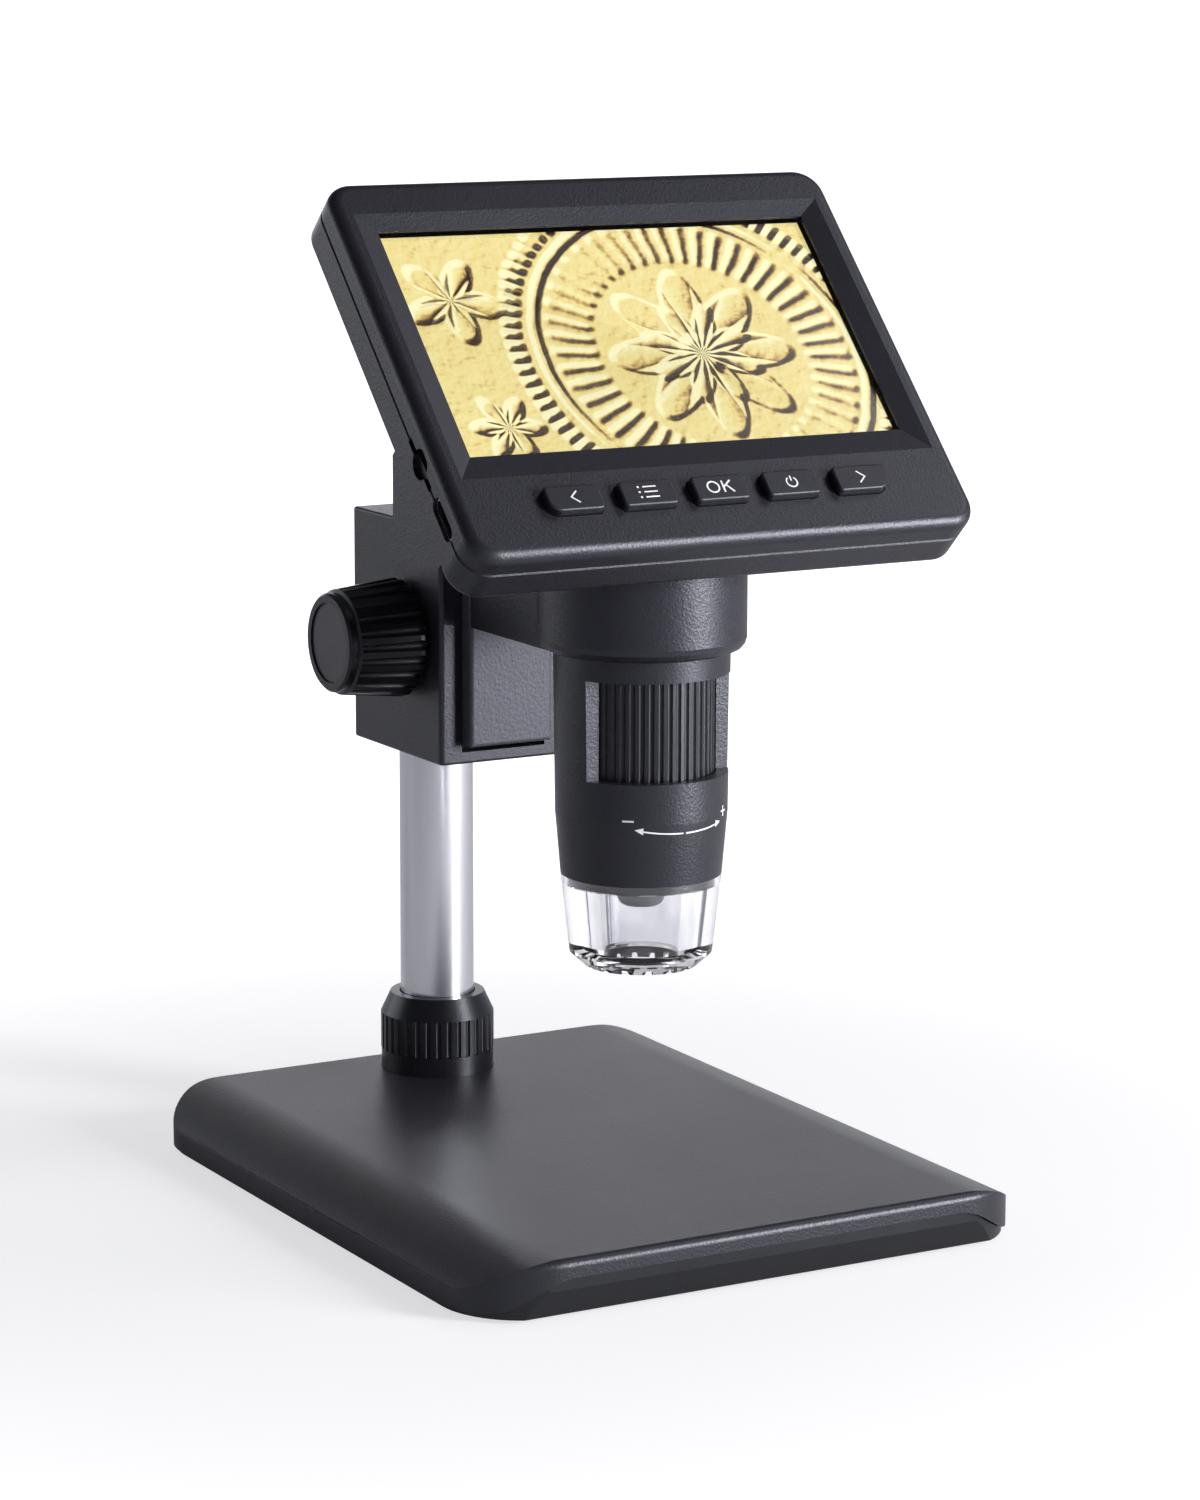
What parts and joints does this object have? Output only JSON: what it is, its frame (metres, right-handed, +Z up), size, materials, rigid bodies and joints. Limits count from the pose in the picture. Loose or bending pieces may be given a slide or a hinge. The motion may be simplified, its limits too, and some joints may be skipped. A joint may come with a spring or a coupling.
{
  "type": "digital microscope",
  "caption": "Bench microscope with a tilted built-in display, key row, downward barrel with clear lamp cap, tube post, rack-and-pinion carriage with side knobs and flat base.",
  "frame": {"origin": "middle of the base's footprint, on the floor", "axes": "+Z up, +Y from the display's side towards the post, +X to the right as seen from the front"},
  "size_m": [0.126, 0.1544, 0.2081],
  "materials": {
    "shell_black": "fine texture",
    "front_black": "fine texture",
    "pan_black": "moulded",
    "rubber": "matte",
    "weight_steel": "rolled",
    "screw_steel": "zinc plated",
    "post_aluminium": "satin anodised",
    "nut_black": "moulded",
    "carriage_black": "satin",
    "brass": "machined",
    "knob_black": "satin",
    "disc_black": "gloss",
    "slider_black": "grained",
    "cover_clear": "clear",
    "screen": "lit picture",
    "board_green": "solder mask",
    "board_white": "solder mask",
    "chip_black": "moulded",
    "battery_wrap": "shrink wrap",
    "socket_steel": "tin plated",
    "collar_black": "satin",
    "barrel_black": "satin",
    "lamp": "diffuser",
    "ring_black": "ribbed",
    "carrier_grey": "satin",
    "lens_glass": "coated",
    "cap_clear": "clear acrylic",
    "key_rubber": "soft touch"
  },
  "bodies": {
    "stand": {"base_shell": "shell_black", "base_pan": "pan_black", "foot_pads": "rubber", "base_weight": "weight_steel", "base_screws": "screw_steel", "post": "post_aluminium", "post_plug": "weight_steel", "post_bolt": "screw_steel", "post_cap": "pan_black", "post_flange": "nut_black", "carriage": "carriage_black", "shaft_bushes": "brass", "carriage_screw": "screw_steel"},
    "nut": {"clamp_nut": "nut_black"},
    "knobs": {"pinion_shaft": "screw_steel", "pinion": "brass", "knob_left": "knob_black", "knob_right": "knob_black", "knob_disc_left": "disc_black", "knob_disc_right": "disc_black"},
    "head": {"slider": "slider_black", "rack": "brass", "arm_screws": "screw_steel", "rear_shell": "shell_black", "housing_screws": "screw_steel", "front_shell": "front_black", "screen_cover": "cover_clear", "screen_panel": "screen", "screen_frame": "weight_steel", "main_board": "board_green", "board_posts": "pan_black", "board_chips": "chip_black", "key_board": "board_green", "key_switches": "chip_black", "key_board_posts": "pan_black", "battery": "battery_wrap", "usb_socket": "socket_steel", "usb_tongue": "chip_black", "card_socket": "socket_steel", "barrel_collar": "collar_black", "barrel": "barrel_black", "lamp_board": "board_white", "lamps": "lamp", "camera_board": "board_green", "camera_chip": "chip_black", "camera_holder": "pan_black"},
    "focus": {"focus_ring": "ring_black"},
    "lens": {"lens_carrier": "carrier_grey", "front_lens": "lens_glass", "rear_lens": "lens_glass"},
    "cap": {"clear_cap": "cap_clear"},
    "key_back_cap": {"key_back": "key_rubber"},
    "key_menu_cap": {"key_menu": "key_rubber"},
    "key_ok_cap": {"key_ok": "key_rubber"},
    "key_power_cap": {"key_power": "key_rubber"},
    "key_next_cap": {"key_next": "key_rubber"}
  },
  "joints": [
    {"name": "knob_turn", "type": "hinge", "parent": "stand", "child": "knobs", "pos_m": [0, 0.0474, 0.1103], "axis": [-1, 0, 0], "range_deg": [-11.95, 214.87]},
    {"name": "head_slide", "type": "slide", "parent": "stand", "child": "head", "axis": [0, 0, 1], "range_m": [-0.001, 0.018]},
    {"name": "nut_turn", "type": "hinge", "parent": "stand", "child": "nut", "pos_m": [0, 0.0625, 0.022], "axis": [0, 0, 1], "range_deg": [-30, 300]},
    {"name": "focus_turn", "type": "hinge", "parent": "head", "child": "focus", "pos_m": [0, -0.0262, 0.1025], "axis": [0, 0, 1], "range_deg": [-135.05, 135.05]},
    {"name": "lens_slide", "type": "slide", "parent": "head", "child": "lens", "axis": [0, 0, 1], "range_m": [-0.003, 0.003]},
    {"name": "cap_pull", "type": "slide", "parent": "head", "child": "cap", "axis": [0, 0, -1], "range_m": [0, 0.02]},
    {"name": "key_back_press", "type": "slide", "parent": "head", "child": "key_back_cap", "axis": [0, 0.7218, -0.6921], "range_m": [0, 0.0005], "stiffness_N_per_m": 600, "springref_m": -0.0003},
    {"name": "key_menu_press", "type": "slide", "parent": "head", "child": "key_menu_cap", "axis": [0, 0.7218, -0.6921], "range_m": [0, 0.0005], "stiffness_N_per_m": 600, "springref_m": -0.0003},
    {"name": "key_ok_press", "type": "slide", "parent": "head", "child": "key_ok_cap", "axis": [0, 0.7218, -0.6921], "range_m": [0, 0.0005], "stiffness_N_per_m": 600, "springref_m": -0.0003},
    {"name": "key_power_press", "type": "slide", "parent": "head", "child": "key_power_cap", "axis": [0, 0.7218, -0.6921], "range_m": [0, 0.0005], "stiffness_N_per_m": 600, "springref_m": -0.0003},
    {"name": "key_next_press", "type": "slide", "parent": "head", "child": "key_next_cap", "axis": [0, 0.7218, -0.6921], "range_m": [0, 0.0005], "stiffness_N_per_m": 600, "springref_m": -0.0003}
  ],
  "couplings": [
    {"joint": "knob_turn", "follows": "head_slide", "rad_per_m": 208.33},
    {"joint": "focus_turn", "follows": "lens_slide", "rad_per_m": 785.4}
  ]
}
